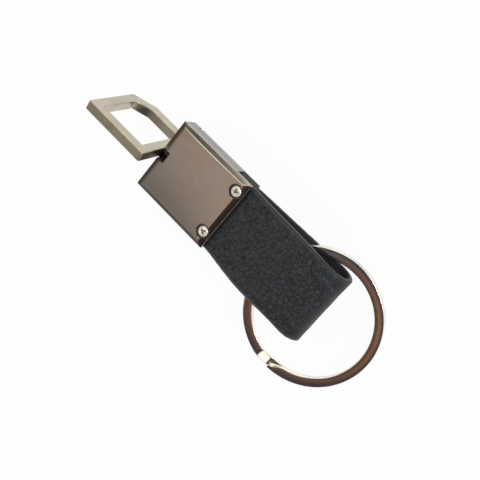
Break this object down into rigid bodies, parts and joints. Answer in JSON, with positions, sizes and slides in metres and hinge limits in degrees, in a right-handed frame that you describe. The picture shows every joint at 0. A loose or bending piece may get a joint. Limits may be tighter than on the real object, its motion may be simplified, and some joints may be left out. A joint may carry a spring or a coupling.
{
  "type": "leather keychain",
  "caption": "Folded leather loop clamped in a flat two-shell metal housing, with a swivelling frame hook at the far end and a split key ring through the loop.",
  "frame": {"origin": "middle of the flat back of the housing's back shell", "axes": "+X along the keychain towards the hook, +Y to the left of someone who looks at the front cover with the hook up, +Z out of the front cover"},
  "size_m": [0.086, 0.0321, 0.0194],
  "materials": {
    "gunmetal": "polished dark nickel plating",
    "shell_gunmetal": "polished dark nickel plating",
    "screw_steel": "bright nickel plating",
    "black_leather": "pebbled grain, painted edges",
    "satin_nickel": "satin nickel plating",
    "stud_steel": "turned",
    "washer_steel": "stamped",
    "ring_nickel": "polished nickel plating"
  },
  "bodies": {
    "housing": {"front_cover": "gunmetal", "back_shell": "shell_gunmetal", "screw_left": "screw_steel", "screw_right": "screw_steel", "leather_strap": "black_leather"},
    "hook": {"hook_frame": "satin_nickel", "swivel_stud": "stud_steel", "thrust_washer": "washer_steel"},
    "ring": {"split_ring": "ring_nickel"}
  },
  "joints": [
    {"name": "hook_swivel", "type": "hinge", "parent": "housing", "child": "hook", "pos_m": [0, 0, 0.00295], "axis": [1, 0, 0], "continuous": true},
    {"name": "key_ring_turn", "type": "hinge", "parent": "housing", "child": "ring", "pos_m": [-0.03995, 0.00325, 0.00131], "axis": [-0.1097, -0.0209, 0.9937], "continuous": true}
  ]
}
